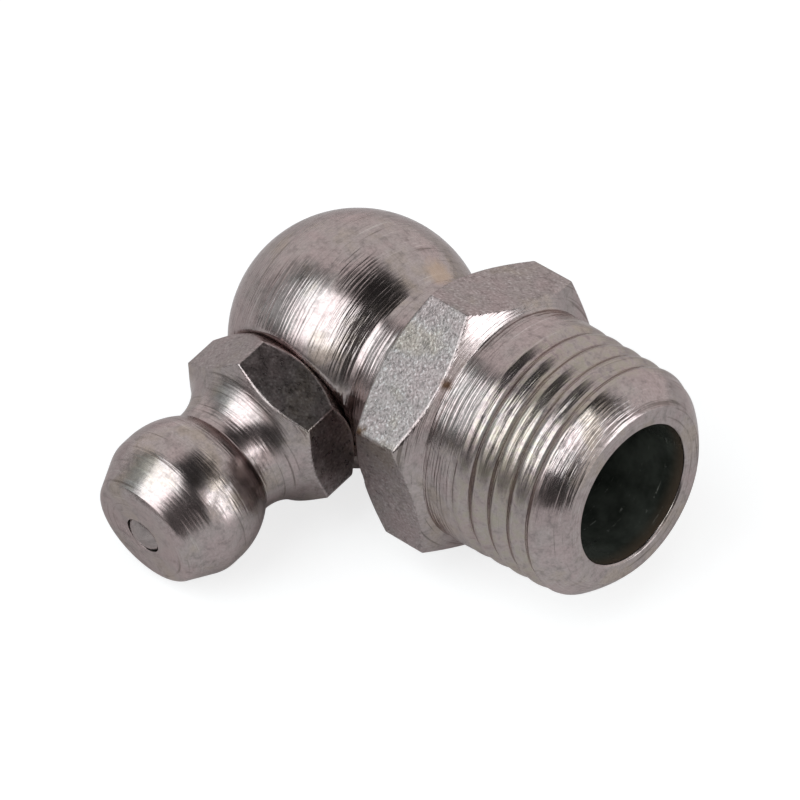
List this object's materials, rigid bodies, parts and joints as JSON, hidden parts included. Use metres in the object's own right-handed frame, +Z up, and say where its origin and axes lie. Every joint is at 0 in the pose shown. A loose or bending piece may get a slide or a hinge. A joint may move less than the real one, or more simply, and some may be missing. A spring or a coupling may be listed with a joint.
{
  "type": "grease nipple",
  "caption": "Right-angled grease nipple: a taper-threaded stud, hexagon and ball body with a side nipple head holding a spring-loaded check ball.",
  "frame": {"origin": "on the thread axis, where the plain root of the stud ends and the full thread begins, 10 mm from the crossing of the thread axis and the nipple axis", "axes": "+Z up with the part lying as it comes to rest on a floor; +X is the level direction towards the threaded end, and the thread axis rises 7.3 degrees from it; the nipple head points towards -Y and droops 11.4 degrees"},
  "size_m": [0.0211, 0.0193, 0.0126],
  "materials": {
    "body_steel": "bright zinc-plated turned steel with fine turning marks",
    "head_steel": "bright zinc-plated turned steel with fine turning marks",
    "ball_steel": "plain polished bearing steel",
    "spring_steel": "drawn spring wire"
  },
  "bodies": {
    "nipple": {"elbow_body": "body_steel", "nipple_head": "head_steel", "valve_spring": "spring_steel"},
    "valve": {"check_ball": "ball_steel"}
  },
  "joints": [
    {"name": "check_ball_slide", "type": "slide", "parent": "nipple", "child": "valve", "axis": [-0.0249, 0.9809, 0.1931], "range_m": [0, 0.001], "stiffness_N_per_m": 800, "springref_m": -0.0004, "deforming": ["valve_spring"]}
  ]
}
